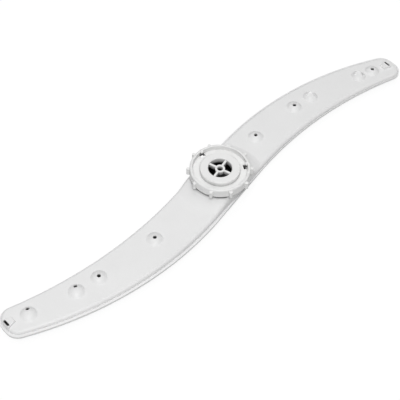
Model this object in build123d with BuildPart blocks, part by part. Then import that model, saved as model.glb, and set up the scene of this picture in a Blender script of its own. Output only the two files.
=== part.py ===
from build123d import *
import os
from math import cos, radians, sin, sqrt

# A dishwasher's upper spray arm: two welded shells make a hollow arm with an S-shaped plan, an inlet bush
# closes its neck, and a ring nut with a bayonet socket turns freely on that neck.
# Millimetres. X runs from tip to tip, +Z is up, and the origin is under the hub on the flat underside.

# Plan of the arm, the same after half a turn about the hub
arm_length = 457.0          # tip to tip
hub_half_width = 23.7       # from the hub's axis square to each straight flank
flank_tilt = 12.5           # degrees from X to the straight flanks
flank_straight = 39.0       # straight run of each flank, each way from the hub
tip_width = 31.0            # across the end of each arm, before its corners are rounded
tip_sweep = 4.6             # the end's middle lies back from X by this
tip_radius = 12.0           # both corners of each tip

# Section of the arm
lower_depth = 6.0           # underside to the flange
flange_thickness = 1.1      # of each shell
flange_width = 2.2          # ledge outside the upper shell's wall, on the convex sides and the tips
concave_flange = 0.5        # the same ledge on the concave sides
tray_inset = 2.6            # the lower shell stands in from the upper one by this
wall = 2.0                  # of both shells
hub_rise = 5.9              # weld seam to the arm's top at the hub
tip_rise = 3.6              # weld seam to the arm's top at the tips
shoulder_radius = 2.6       # long edges of the arm's top
tray_radius = 3.0           # long edges of the underside

# Jets
dome_radius = 6.9           # foot of each jet's dome
dome_height = 3.0
dome_foot_radius = 1.4      # hollow round where the dome meets the arm's top
dome_sink = 0.6             # the dome's foot reaches into the arm's top by this
jet_radius = 1.7
angled_tilt = 10.0          # degrees off upright
angled_heading = 65.0       # degrees from X
angled_offset = 4.1         # dome's centre to the jet
scoop_radius = 4.1          # round scoop in the far side of two domes
scoop_tilt = 50.0           # lean of the scoop's axis, in degrees off upright
scoop_heading = 46.0        # degrees from X
scoop_floor = 1.1           # height of the scoop's flat end at the dome's middle
slot_length = 6.6
slot_width = 2.1
slot_bump_width = 10.4      # foot of the bump on the tip's side
slot_bump_narrow = 7.2      # foot of the bump on the hub's side
slot_bump_outer = 2.0       # from the slot's middle to the tip's side
slot_bump_inner = 7.2       # from the slot's middle to the hub's side
slot_bump_height = 1.7
slot_bump_slope = 1.0       # the bump's top stands in from its foot by this
slot_bump_edge = 0.5
slot_bump_sink = 1.2        # the bump's foot reaches into the arm's top by this

# Places of the jets: distance from the hub's axis or inwards from the tip, and aside towards +Y from the
# middle of the arm's width
left_inner_jet = (84.3, 3.0)                        # from the hub
left_outer_jet = (85.5, 3.2)                        # from the tip, like those below
left_angled_jets = ((63.7, 1.8), (22.4, 0.6))
left_slot = (4.1, -1.2)
right_inner_jet = (57.9, 2.7)                       # from the hub
right_outer_jets = ((117.4, 2.1), (26.4, -0.2))     # from the tip, like those below
right_scooped_jets = ((96.5, 2.4), (41.6, -0.5))
right_slot = (9.0, 1.6)

# Hub
pad_height = 4.4            # raised middle of the arm, over its top
pad_reach = 3.0             # its round flat top beyond the hub's half width
pad_run = 12.8              # its slope, measured flat
pad_edge_radius = 2.0       # round between its flat top and its slope
pad_blend_radius = 16.0     # hollow round at the foot of its slope
pad_shoulder_radius = 3.2   # its edges along the flanks
pad_sink = 0.03             # the slope's foot reaches into the arm's top by this
neck_radius = 14.5
neck_wall = 2.05
spigot_clearance = 0.05     # bush in the neck
run_gap = 0.3               # between the nut and what it turns on
inlet_radius = 10.4
disc_radius = 17.6
disc_thickness = 3.8
disc_edge_radius = 1.0
inlet_edge = 0.5            # chamfer at the inlet's mouth
spoke_count = 4
spoke_width = 1.9
spoke_depth = 4.0
spoke_drop = 1.2            # spokes below the disc's face
spoke_heading = 18.0        # degrees from X to the first spoke
boss_radius = 4.3
boss_bore_radius = 2.5

# Ring nut
sleeve_length = 4.9         # below the nut's floor
sleeve_wall = 3.0
nut_floor = 1.4
groove_depth = 4.7
groove_radius = 23.9        # inside of the rim
rim_wall = 2.5
rim_skirt = 2.2             # the rim's foot below the floor's underside
rim_edge_radius = 1.5       # outer edge of the rim's top
rim_lip_radius = 0.6        # inner edge of the rim's top
rib_count = 10
rib_width = 2.8
rib_reach = 2.7             # beyond the rim
rib_drop = 1.7              # rib tops below the rim's top
rib_heading = 31.5          # degrees from X to the first rib
lug_count = 3
lug_width = 2.6
lug_reach = 1.5             # inward from the rim
lug_thickness = 1.0
lug_drop = 0.4              # lug tops below the rim's top
lug_heading = 90.0          # degrees from X to the first lug
window_reach = 3.1          # window in the floor, inward from the rim
window_margin = 1.1         # window on each side of the lug
window_depth = 1.4          # the window's cut into the rim, under the lug
overlap = 0.5               # how far joined features run into each other

# Heights and radii worked out from the sizes above
half_length = arm_length / 2
seam_z = lower_depth + flange_thickness
top_hub_z = seam_z + hub_rise
top_tip_z = seam_z + tip_rise
pad_z = top_hub_z + pad_height
pad_radius = hub_half_width + pad_reach
pad_foot_radius = pad_radius + pad_run
sleeve_z = pad_z + run_gap
floor_under_z = sleeve_z + sleeve_length
floor_z = floor_under_z + nut_floor
rim_z = floor_z + groove_depth
disc_under_z = floor_z + run_gap
disc_z = disc_under_z + disc_thickness
rim_foot_z = floor_under_z - rim_skirt
lug_under_z = rim_z - lug_drop - lug_thickness
rim_radius = groove_radius + rim_wall
nut_bore_radius = neck_radius + run_gap
sleeve_radius = nut_bore_radius + sleeve_wall
neck_bore_radius = neck_radius - neck_wall
spigot_radius = neck_bore_radius - spigot_clearance

# How far the tray's walls stand in from the plan's edge
tray_outside = flange_width + tray_inset
tray_inside = tray_outside + wall

# Directions and arc centres of the plan
along = Vector(cos(radians(flank_tilt)), sin(radians(flank_tilt)))
across = Vector(-along.Y, along.X)
convex_start = across * hub_half_width + along * flank_straight
concave_start = across * -hub_half_width + along * flank_straight
convex_tip = Vector(half_length, tip_width / 2 - tip_sweep)
concave_tip = Vector(half_length, -tip_width / 2 - tip_sweep)


def sweep_radius(start, end):
    """Radius of the arc that leaves a flank at its start and passes through the tip's corner."""
    chord = end - start
    return -chord.dot(chord) / (2 * chord.dot(across))


convex_radius = sweep_radius(convex_start, convex_tip)
concave_radius = sweep_radius(concave_start, concave_tip)
convex_centre = convex_start - across * convex_radius
concave_centre = concave_start - across * concave_radius

# Sphere of the domes
dome_sphere = (dome_radius**2 + dome_height**2) / (2 * dome_height)


def arc_point(centre, radius, x):
    """Point at x on the upper half of a circle."""
    return Vector(x, centre.Y + sqrt(radius**2 - (x - centre.X) ** 2))


def middle_y(x):
    """Middle of the arm's width at x, on either arm beyond the straight flanks."""
    far = arc_point(convex_centre, convex_radius, abs(x)).Y
    near = arc_point(concave_centre, concave_radius, abs(x)).Y
    middle = (far + near) / 2
    return middle if x > 0 else -middle


def top_z(x):
    """Height of the arm's top at x."""
    return top_hub_z + (top_tip_z - top_hub_z) * abs(x) / half_length


def on_top(x, aside):
    """Point on the arm's top at x, moved aside from the middle of its width."""
    return Vector(x, middle_y(x) + aside, top_z(x))


# In the next two, side is -1 on the left arm and 1 on the right
def from_hub(side, place):
    """Point on the arm's top at a place given from the hub."""
    distance, aside = place
    return on_top(side * distance, aside)


def from_tip(side, place):
    """Point on the arm's top at a place given from the tip."""
    distance, aside = place
    return on_top(side * (half_length - distance), aside)


def leaning(heading, tilt):
    """Unit vector that leans from upright by tilt towards a heading, both in degrees."""
    flat = Vector(cos(radians(heading)), sin(radians(heading)))
    return flat * sin(radians(tilt)) + Vector(0, 0, cos(radians(tilt)))


# The jets' domes and slots by kind
plain_jets = [from_hub(-1, left_inner_jet), from_tip(-1, left_outer_jet), from_hub(1, right_inner_jet)]
plain_jets += [from_tip(1, place) for place in right_outer_jets]
angled_jets = [from_tip(-1, place) for place in left_angled_jets]
scooped_jets = [from_tip(1, place) for place in right_scooped_jets]
whole_domes = plain_jets + angled_jets
slot_left = from_tip(-1, left_slot)
slot_right = from_tip(1, right_slot)


def arm_plan(inset, concave_inset):
    """Plan of the arm, drawn in by inset, and on the concave sides by concave_inset. Each turn draws one arm
    and the flank that leads to it."""
    edge_x = half_length - inset
    convex_root = convex_start - across * inset
    concave_root = concave_start + across * concave_inset
    convex_end = arc_point(convex_centre, convex_radius - inset, edge_x)
    concave_end = arc_point(concave_centre, concave_radius + concave_inset, edge_x)
    convex_mid = arc_point(convex_centre, convex_radius - inset, (convex_root.X + edge_x) / 2)
    concave_mid = arc_point(concave_centre, concave_radius + concave_inset, (concave_root.X + edge_x) / 2)
    with BuildSketch() as plan:
        with BuildLine():
            for turn in (1, -1):
                Line(convex_root * -turn, concave_root * turn)
                ThreePointArc(concave_root * turn, concave_mid * turn, concave_end * turn)
                Line(concave_end * turn, convex_end * turn)
                ThreePointArc(convex_end * turn, convex_mid * turn, convex_root * turn)
        make_face()
        corners = plan.vertices().sort_by(Axis.X)
        fillet(corners[:2] + corners[-2:], tip_radius - inset)
    return plan.sketch


def sloped_arm(inset, drop, edge_radius):
    """Both arms on their plan, drawn in by inset, from the seam to a flat top that falls towards each tip.
    The top is lowered by drop and its long edges are rounded."""
    with BuildPart() as half:
        with BuildSketch(Plane.XY.offset(seam_z)):
            add(arm_plan(inset, inset))
        extrude(amount=hub_rise)
        with BuildSketch(Plane.XZ):
            Polygon(
                (0, seam_z),
                (half_length, seam_z),
                (half_length, top_tip_z - drop),
                (0, top_hub_z - drop),
                align=None,
            )
        extrude(amount=half_length, both=True, mode=Mode.INTERSECT)
        if edge_radius > 0:
            top_edges = half.faces().sort_by(Axis.Z)[-1].edges()
            fillet(top_edges.sort_by(Axis.X)[1:], edge_radius)
    with BuildPart() as solid:
        with PolarLocations(0, 2):
            add(half.part)
    return solid.part


def hub_pad(inset, drop, edge_radius):
    """Raised middle of the arm on its plan, drawn in by inset and lowered by drop, with rounded flank edges.
    Its foot runs out level with the fall of the arms."""
    flat_z = pad_z - drop
    foot_z = top_z(pad_foot_radius) - pad_sink - drop
    skirt_radius = pad_foot_radius + pad_blend_radius / 2
    skirt_z = top_z(skirt_radius) - pad_sink - drop
    with BuildPart() as solid:
        with BuildSketch(Plane.XZ) as profile:
            Polygon(
                (0, seam_z),
                (skirt_radius, seam_z),
                (skirt_radius, skirt_z),
                (pad_foot_radius, foot_z),
                (pad_radius, flat_z),
                (0, flat_z),
                align=None,
            )
            fillet(profile.vertices().sort_by_distance((pad_radius, flat_z))[0], pad_edge_radius)
            fillet(profile.vertices().sort_by_distance((pad_foot_radius, foot_z))[0], pad_blend_radius)
        revolve(axis=Axis.Z)
        with BuildSketch(Plane.XY.offset(seam_z)):
            add(arm_plan(inset, inset))
        extrude(amount=flat_z - seam_z, mode=Mode.INTERSECT)
        if edge_radius > 0:
            flanks = solid.faces().filter_by(GeomType.PLANE).sort_by(Axis((0, 0, 0), across))
            fillet([flank.edges().sort_by(Axis.Z)[-1] for flank in (flanks[0], flanks[-1])], edge_radius)
    return solid.part


# A jet's dome, standing on the origin
with BuildPart() as jet_dome:
    with BuildSketch(Plane.XZ):
        with Locations((0, dome_height - dome_sphere)):
            Circle(dome_sphere)
        with Locations((0, -dome_sink)):
            Rectangle(
                dome_sphere,
                dome_height + dome_sink,
                align=(Align.MIN, Align.MIN),
                mode=Mode.INTERSECT,
            )
    revolve(axis=Axis.Z)

# A scooped dome: a slanting round scoop takes the middle of its far side away
with BuildPart() as scooped_dome:
    add(jet_dome.part)
    with BuildSketch(Plane((0, 0, scoop_floor), z_dir=leaning(scoop_heading, scoop_tilt))):
        Circle(scoop_radius)
    extrude(amount=2 * dome_radius, mode=Mode.SUBTRACT)

# The bump around a tip slot: wide on the tip's side (+X here), narrower towards the hub, with sloping sides
with BuildPart() as slot_bump:
    for height, inset in ((-slot_bump_sink, 0.0), (slot_bump_height, slot_bump_slope)):
        with BuildSketch(Plane.XY.offset(height)):
            Polygon(
                (slot_bump_outer - inset, slot_bump_width / 2 - inset),
                (slot_bump_outer - inset, -slot_bump_width / 2 + inset),
                (-slot_bump_inner + inset, -slot_bump_narrow / 2 + inset),
                (-slot_bump_inner + inset, slot_bump_narrow / 2 - inset),
                align=None,
            )
    loft()
    fillet(slot_bump.edges().group_by(Axis.Z)[-1] + slot_bump.edges().group_by(Axis.Z)[1], slot_bump_edge)

# Upper shell: sloping tops with jets, a raised hub with its neck, and half of the weld flange
with BuildPart() as upper_shell:
    add(sloped_arm(flange_width, 0, shoulder_radius))
    with BuildSketch(Plane.XY.offset(seam_z)):
        add(arm_plan(0, flange_width - concave_flange))
    extrude(amount=flange_thickness)
    with Locations(*whole_domes):
        add(jet_dome.part)
    feet = []
    for edge in upper_shell.edges():
        middle = edge.center(CenterOf.BOUNDING_BOX)
        if min((middle - place).length for place in whole_domes) < dome_sink:
            feet.append(edge)
    fillet(feet, dome_foot_radius)
    with Locations(*scooped_jets):
        add(scooped_dome.part)
    with Locations(Location(slot_right), Location(slot_left, (0, 0, 180))):
        add(slot_bump.part)
    add(hub_pad(flange_width, 0, pad_shoulder_radius))
    add(sloped_arm(flange_width + wall, wall, 0), mode=Mode.SUBTRACT)
    add(hub_pad(flange_width + wall, wall, 0), mode=Mode.SUBTRACT)
    with BuildSketch(Plane.XY.offset(pad_z - wall)):
        Circle(neck_radius)
    extrude(amount=disc_under_z - pad_z + wall)
    with BuildSketch(Plane.XY.offset(seam_z)):
        Circle(neck_bore_radius)
    extrude(amount=disc_under_z - seam_z, mode=Mode.SUBTRACT)
    # upright jets
    with Locations(*plain_jets):
        Cylinder(jet_radius, 2 * (dome_height + wall), mode=Mode.SUBTRACT)
    # jets that lean out of the side of their domes
    for place in angled_jets:
        mouth = place + leaning(angled_heading, 90) * angled_offset + Vector(0, 0, dome_height)
        with BuildSketch(Plane(mouth, z_dir=leaning(angled_heading, angled_tilt))):
            Circle(jet_radius)
        extrude(amount=dome_height + wall, both=True, mode=Mode.SUBTRACT)
    # jets in the flat ends of the scoops
    for place in scooped_jets:
        with BuildSketch(Plane(place + Vector(0, 0, scoop_floor), z_dir=leaning(scoop_heading, scoop_tilt))):
            Circle(jet_radius)
        extrude(amount=dome_height + wall, both=True, mode=Mode.SUBTRACT)
    # slots across the tips
    for place in (slot_left, slot_right):
        with BuildSketch(Plane.XY.offset(seam_z + flange_thickness)):
            with Locations((place.X, place.Y)):
                SlotOverall(slot_length, slot_width, rotation=90)
        extrude(amount=2 * hub_rise, mode=Mode.SUBTRACT)

# Lower shell: a flat-bottomed tray with the other half of the weld flange
with BuildPart() as lower_shell:
    with BuildSketch():
        add(arm_plan(tray_outside, tray_outside))
    extrude(amount=seam_z)
    fillet(lower_shell.faces().sort_by(Axis.Z)[0].edges(), tray_radius)
    with BuildSketch(Plane.XY.offset(lower_depth)):
        add(arm_plan(0, flange_width - concave_flange))
    extrude(amount=flange_thickness)
    with BuildSketch(Plane.XY.offset(wall)):
        add(arm_plan(tray_inside, tray_inside))
    extrude(amount=seam_z - wall, mode=Mode.SUBTRACT)

# Inlet bush: a disc on a spigot, with the inlet's spokes and centre boss
with BuildPart() as inlet_bush:
    with BuildSketch(Plane.XY.offset(disc_under_z)):
        Circle(disc_radius)
    extrude(amount=disc_thickness)
    fillet(inlet_bush.faces().sort_by(Axis.Z)[-1].edges(), disc_edge_radius)
    with BuildSketch(Plane.XY.offset(pad_z - wall)):
        Circle(spigot_radius)
    extrude(amount=disc_under_z - pad_z + wall)
    with BuildSketch(Plane.XY.offset(disc_z)):
        Circle(inlet_radius)
    extrude(amount=pad_z - wall - disc_z, mode=Mode.SUBTRACT)
    mouth_edge = inlet_bush.faces().sort_by(Axis.Z)[-1].edges().sort_by(SortBy.LENGTH)[0]
    chamfer(mouth_edge, inlet_edge)
    with BuildSketch(Plane.XY.offset(disc_z - spoke_drop)):
        with PolarLocations(inlet_radius / 2, spoke_count, start_angle=spoke_heading):
            Rectangle(inlet_radius + 2 * overlap, spoke_width)
        Circle(boss_radius)
        Circle(boss_bore_radius, mode=Mode.SUBTRACT)
    extrude(amount=-spoke_depth)

# Ring nut: a bearing sleeve, a floor and a ribbed rim with three bayonet lugs over windows in the floor
with BuildPart() as ring_nut:
    with BuildSketch(Plane.XZ):
        with BuildLine():
            Polyline(
                (nut_bore_radius, sleeve_z),
                (sleeve_radius, sleeve_z),
                (sleeve_radius, floor_under_z),
                (groove_radius, floor_under_z),
                (groove_radius, rim_foot_z),
                (rim_radius, rim_foot_z),
                (rim_radius, rim_z),
                (groove_radius, rim_z),
                (groove_radius, floor_z),
                (nut_bore_radius, floor_z),
                close=True,
            )
        make_face()
    revolve(axis=Axis.Z)
    fillet(ring_nut.faces().sort_by(Axis.Z)[-1].edges().sort_by(SortBy.LENGTH)[-1], rim_edge_radius)
    fillet(ring_nut.faces().sort_by(Axis.Z)[-1].edges().sort_by(SortBy.LENGTH)[0], rim_lip_radius)
    with BuildSketch(Plane.XY.offset(rim_foot_z)):
        with PolarLocations(rim_radius - overlap, rib_count, start_angle=rib_heading):
            SlotOverall(2 * (rib_reach + overlap), rib_width)
        Circle(rim_radius - overlap, mode=Mode.SUBTRACT)
    extrude(amount=rim_z - rib_drop - rim_foot_z)
    # windows through the floor, which reach into the rim up to the lugs
    with BuildSketch(Plane.XY.offset(lug_under_z)):
        with PolarLocations(groove_radius, lug_count, start_angle=lug_heading):
            Rectangle(2 * window_reach, lug_width + 2 * window_margin)
        Circle(groove_radius + window_depth, mode=Mode.INTERSECT)
    extrude(amount=rim_foot_z - lug_under_z, mode=Mode.SUBTRACT)
    # lugs
    with BuildSketch(Plane.XY.offset(lug_under_z)):
        with PolarLocations(groove_radius, lug_count, start_angle=lug_heading):
            Rectangle(2 * lug_reach, lug_width)
        Circle(groove_radius + overlap, mode=Mode.INTERSECT)
    extrude(amount=lug_thickness)

os.makedirs("parts", exist_ok=True)
for name, piece in (
    ("upper_shell", upper_shell),
    ("lower_shell", lower_shell),
    ("inlet_bush", inlet_bush),
    ("ring_nut", ring_nut),
):
    piece.part.label = name
    export_step(piece.part, f"parts/{name}.step")
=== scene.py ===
import math

import bpy
from mathutils import Matrix, Vector

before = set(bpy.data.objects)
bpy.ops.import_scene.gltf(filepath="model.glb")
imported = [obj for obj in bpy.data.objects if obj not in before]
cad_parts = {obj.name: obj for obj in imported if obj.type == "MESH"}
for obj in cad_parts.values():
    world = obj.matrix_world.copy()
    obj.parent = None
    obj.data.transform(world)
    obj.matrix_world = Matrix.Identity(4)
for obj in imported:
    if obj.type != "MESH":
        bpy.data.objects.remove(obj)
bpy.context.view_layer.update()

# Camera, in metres and degrees: it looks down on the arm from the side of the left tip
AIM = Vector((-0.02479, -0.00249, 0.00584))
VIEW_HEADING = 46.43        # from X to the way the camera looks, on the floor
VIEW_DROP = 52.0            # how steeply it looks down
VIEW_DISTANCE = 0.8922
VIEW_ROLL = 2.2
SENSOR_MM = 36.0
LENS_MM = 92.58

# Colours, as linear values
ARM_GREY = (0.80, 0.80, 0.80)
HUB_GREY = (0.82, 0.82, 0.815)
FLOOR_GREY = (0.58, 0.58, 0.58)
WHITE = (1.0, 1.0, 1.0)

# Light levels, with the headings and heights of the lamps in degrees and their distance and size in metres
SKY_STRENGTH = 0.25
FRONT_WATTS = 62.0
FRONT_HEADING = 225.0       # from X to the lamp, on the floor
BACK_WATTS = 17.0
BACK_HEADING = 45.0
LAMP_HEIGHT = 62.0          # over the floor
LAMP_DISTANCE = 3.0
LAMP_SIZE = 1.8

# Floor, in metres
FLOOR_SIZE = 8.0
FLOOR_DROP = 0.0002         # under the arm's lowest face, so that the two don't share a plane
FLOOR_GLOW = 0.90           # white that the floor shows to the camera, beside the light that falls on it
FLOOR_CATCH = 0.12          # share of the floor's white that still takes a shadow

# Painted shade in recesses: how far a surface looks for what shuts it in, the share of the colour that is
# left in the darkest painted shade, and how open each plastic is where it is darkest and where it has its
# full colour
PAINTED_RECESS_REACH = 0.04
PAINTED_RECESS_DARKEST = 0.03
ARM_PAINTED_RECESS_SHADE = (0.12, 0.36)
HUB_PAINTED_RECESS_SHADE = (0.07, 0.28)

# Painted shade in the dark spaces about the hub's axis, in metres: radius, lowest height, height where the
# painted shade is darkest and height where the colour is full
INLET_PAINTED_SHADE = (0.0106, 0.0080, 0.0190, 0.0270)
NUT_PAINTED_SHADE = (0.0242, 0.0170, 0.0222, 0.0236)

# Moulded plastic
PLASTIC_IOR = 1.49
PLASTIC_SPECULAR = 0.4
CLOUD_SCALE = 35.0          # patches for each metre
CLOUD_DETAIL = 4.0
CLOUD_RANGE = (0.3, 0.7)    # part of the cloud pattern that the change of tint is spread over
CLOUD_DARKEST = 0.97        # share of the colour in the darkest patches
GLOSS_SCALE = 90.0
GLOSS_DETAIL = 6.0
ROUGHNESS_RANGE = (0.38, 0.56)
ARM_GRAIN = 0.0006          # size of the grain, in metres
HUB_GRAIN = 0.0005
GRAIN_DETAIL = 2.0
GRAIN_STRENGTH = 0.12
GRAIN_DEPTH = 0.0001
ARM_SEED = 0.0              # shifts the patterns, so that the two plastics differ
HUB_SEED = 0.7


def heading_vector(heading, height):
    """Direction at a heading on the floor and a height over it, both in degrees."""
    turn = math.radians(heading)
    rise = math.radians(height)
    return Vector((
        math.cos(turn) * math.cos(rise),
        math.sin(turn) * math.cos(rise),
        math.sin(rise),
    ))


def make_camera():
    """Camera at the photograph's angle."""
    data = bpy.data.cameras.new("camera")
    data.sensor_fit = "HORIZONTAL"
    data.sensor_width = SENSOR_MM
    data.lens = LENS_MM
    camera = bpy.data.objects.new("camera", data)
    bpy.context.scene.collection.objects.link(camera)
    look = heading_vector(VIEW_HEADING, -VIEW_DROP)
    turn = look.to_track_quat("-Z", "Y").to_matrix().to_4x4()
    roll = Matrix.Rotation(math.radians(VIEW_ROLL), 4, "Z")
    camera.matrix_world = Matrix.Translation(AIM - look * VIEW_DISTANCE) @ turn @ roll
    bpy.context.scene.camera = camera


def make_lamp(name, watts, heading):
    """Large soft lamp, high up at a heading, that shines at the hub."""
    data = bpy.data.lights.new(name, "AREA")
    data.shape = "DISK"
    data.size = LAMP_SIZE
    data.energy = watts
    lamp = bpy.data.objects.new(name, data)
    bpy.context.scene.collection.objects.link(lamp)
    towards = heading_vector(heading, LAMP_HEIGHT)
    lamp.location = towards * LAMP_DISTANCE
    lamp.rotation_mode = "QUATERNION"
    lamp.rotation_quaternion = (-towards).to_track_quat("-Z", "Y")


def make_lights():
    """Even sky, a lamp on the camera's side of the arm and a weaker one behind it."""
    world = bpy.data.worlds.new("sky")
    world.use_nodes = True
    background = world.node_tree.nodes["Background"]
    background.inputs["Color"].default_value = (*WHITE, 1.0)
    background.inputs["Strength"].default_value = SKY_STRENGTH
    bpy.context.scene.world = world

    make_lamp("front_lamp", FRONT_WATTS, FRONT_HEADING)
    make_lamp("back_lamp", BACK_WATTS, BACK_HEADING)


def math_node(tree, operation, first, second):
    """Output of a math node on two values, each a socket or a number."""
    node = tree.nodes.new("ShaderNodeMath")
    node.operation = operation
    for socket, value in zip(node.inputs, (first, second)):
        if isinstance(value, float):
            socket.default_value = value
        else:
            tree.links.new(value, socket)
    return node.outputs["Value"]


def diffuse_node(tree, colour):
    """Output of a plain matt shader."""
    node = tree.nodes.new("ShaderNodeBsdfDiffuse")
    node.inputs["Color"].default_value = (*colour, 1.0)
    return node.outputs["BSDF"]


def floor_finish():
    """Grey to the light that bounces off it, and white with the arm's shadow wherever it is seen."""
    material = bpy.data.materials.new("floor")
    material.use_nodes = True
    tree = material.node_tree
    nodes = tree.nodes
    links = tree.links
    nodes.clear()

    glow = nodes.new("ShaderNodeEmission")
    glow.inputs["Strength"].default_value = FLOOR_GLOW
    shown = nodes.new("ShaderNodeAddShader")
    links.new(diffuse_node(tree, (FLOOR_CATCH, FLOOR_CATCH, FLOOR_CATCH)), shown.inputs[0])
    links.new(glow.outputs["Emission"], shown.inputs[1])

    path = nodes.new("ShaderNodeLightPath")
    seen = math_node(tree, "MAXIMUM", path.outputs["Is Camera Ray"], path.outputs["Is Glossy Ray"])
    seen = math_node(tree, "MAXIMUM", seen, path.outputs["Is Transmission Ray"])
    mix = nodes.new("ShaderNodeMixShader")
    links.new(seen, mix.inputs["Fac"])
    links.new(diffuse_node(tree, FLOOR_GREY), mix.inputs[1])
    links.new(shown.outputs["Shader"], mix.inputs[2])
    output = nodes.new("ShaderNodeOutputMaterial")
    links.new(mix.outputs["Shader"], output.inputs["Surface"])
    return material


def make_floor():
    """Pale floor under the arm, which isn't part of the object."""
    half = FLOOR_SIZE / 2
    signs = ((-1, -1), (1, -1), (1, 1), (-1, 1))
    corners = [(x * half, y * half, -FLOOR_DROP) for x, y in signs]
    mesh = bpy.data.meshes.new("floor")
    mesh.from_pydata(corners, [], [(0, 1, 2, 3)])
    mesh.materials.append(floor_finish())
    floor = bpy.data.objects.new("floor", mesh)
    bpy.context.scene.collection.objects.link(floor)


def noise(tree, place, scale, detail):
    """Output of a noise pattern."""
    node = tree.nodes.new("ShaderNodeTexNoise")
    node.inputs["Scale"].default_value = scale
    node.inputs["Detail"].default_value = detail
    tree.links.new(place, node.inputs["Vector"])
    return node.outputs["Fac"]


def mapped(tree, value, from_range, to_range):
    """Output of a node that maps one range of values to another and keeps within it."""
    node = tree.nodes.new("ShaderNodeMapRange")
    node.inputs["From Min"].default_value = from_range[0]
    node.inputs["From Max"].default_value = from_range[1]
    node.inputs["To Min"].default_value = to_range[0]
    node.inputs["To Max"].default_value = to_range[1]
    tree.links.new(value, node.inputs["Value"])
    return node.outputs["Result"]


def painted_space_shade(tree, place, space):
    """Painted shade: share of the colour kept at a place in a dark space about the hub's axis, standing in
    for the light that reaches it; all of it elsewhere.
    """
    radius, low_z, dark_z, light_z = space
    apart = tree.nodes.new("ShaderNodeSeparateXYZ")
    tree.links.new(place, apart.inputs["Vector"])
    flat = tree.nodes.new("ShaderNodeVectorMath")
    flat.operation = "MULTIPLY"
    flat.inputs[1].default_value = (1.0, 1.0, 0.0)
    tree.links.new(place, flat.inputs[0])
    length = tree.nodes.new("ShaderNodeVectorMath")
    length.operation = "LENGTH"
    tree.links.new(flat.outputs["Vector"], length.inputs[0])
    beside = math_node(tree, "GREATER_THAN", length.outputs["Value"], radius)
    under = math_node(tree, "LESS_THAN", apart.outputs["Z"], low_z)
    outside = math_node(tree, "MAXIMUM", beside, under)
    depth = mapped(tree, apart.outputs["Z"], (dark_z, light_z), (0.0, 1.0))
    return math_node(tree, "MAXIMUM", outside, depth)


def moulded_plastic(name, colour, painted_recess_shade, grain_size, seed):
    """Satin moulded plastic: faint cloudiness in the colour, painted shade in recesses and about the hub's
    axis, a fine spark-eroded grain and uneven gloss."""
    material = bpy.data.materials.new(name)
    material.use_nodes = True
    tree = material.node_tree
    nodes = tree.nodes
    links = tree.links
    shader = nodes["Principled BSDF"]
    shader.inputs["IOR"].default_value = PLASTIC_IOR
    shader.inputs["Specular IOR Level"].default_value = PLASTIC_SPECULAR

    place = nodes.new("ShaderNodeTexCoord").outputs["Object"]
    shift = nodes.new("ShaderNodeMapping")
    shift.inputs["Location"].default_value = (seed, 2 * seed, 3 * seed)
    links.new(place, shift.inputs["Vector"])
    shifted = shift.outputs["Vector"]

    # Cloudy colour
    tint = nodes.new("ShaderNodeValToRGB")
    dark, light = tint.color_ramp.elements
    dark.position, light.position = CLOUD_RANGE
    dark.color = (*[CLOUD_DARKEST * c for c in colour], 1.0)
    light.color = (*colour, 1.0)
    links.new(noise(tree, shifted, CLOUD_SCALE, CLOUD_DETAIL), tint.inputs["Fac"])

    # Painted shade: the colour is darkened in recesses and in the spaces about the hub's axis
    openness = nodes.new("ShaderNodeAmbientOcclusion")
    openness.inputs["Distance"].default_value = PAINTED_RECESS_REACH
    painted_shade = mapped(tree, openness.outputs["AO"], painted_recess_shade, (PAINTED_RECESS_DARKEST, 1.0))
    for space in (INLET_PAINTED_SHADE, NUT_PAINTED_SHADE):
        painted_shade = math_node(tree, "MULTIPLY", painted_shade, painted_space_shade(tree, place, space))
    shaded = nodes.new("ShaderNodeVectorMath")
    shaded.operation = "SCALE"
    links.new(tint.outputs["Color"], shaded.inputs["Vector"])
    links.new(painted_shade, shaded.inputs["Scale"])
    links.new(shaded.outputs["Vector"], shader.inputs["Base Color"])

    # Uneven gloss
    gloss = noise(tree, shifted, GLOSS_SCALE, GLOSS_DETAIL)
    links.new(mapped(tree, gloss, (0.0, 1.0), ROUGHNESS_RANGE), shader.inputs["Roughness"])

    # Fine grain
    bump = nodes.new("ShaderNodeBump")
    bump.inputs["Strength"].default_value = GRAIN_STRENGTH
    bump.inputs["Distance"].default_value = GRAIN_DEPTH
    links.new(noise(tree, shifted, 1.0 / grain_size, GRAIN_DETAIL), bump.inputs["Height"])
    links.new(bump.outputs["Normal"], shader.inputs["Normal"])
    return material


def dress(node, material):
    """Gives a CAD node its finish."""
    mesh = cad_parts[node].data
    mesh.materials.clear()
    mesh.materials.append(material)


bpy.context.scene.view_settings.view_transform = "Standard"
make_camera()
make_lights()
make_floor()
arm_plastic = moulded_plastic("arm_plastic", ARM_GREY, ARM_PAINTED_RECESS_SHADE, ARM_GRAIN, ARM_SEED)
hub_plastic = moulded_plastic("hub_plastic", HUB_GREY, HUB_PAINTED_RECESS_SHADE, HUB_GRAIN, HUB_SEED)
dress("upper_shell", arm_plastic)
dress("lower_shell", arm_plastic)
dress("inlet_bush", hub_plastic)
dress("ring_nut", hub_plastic)
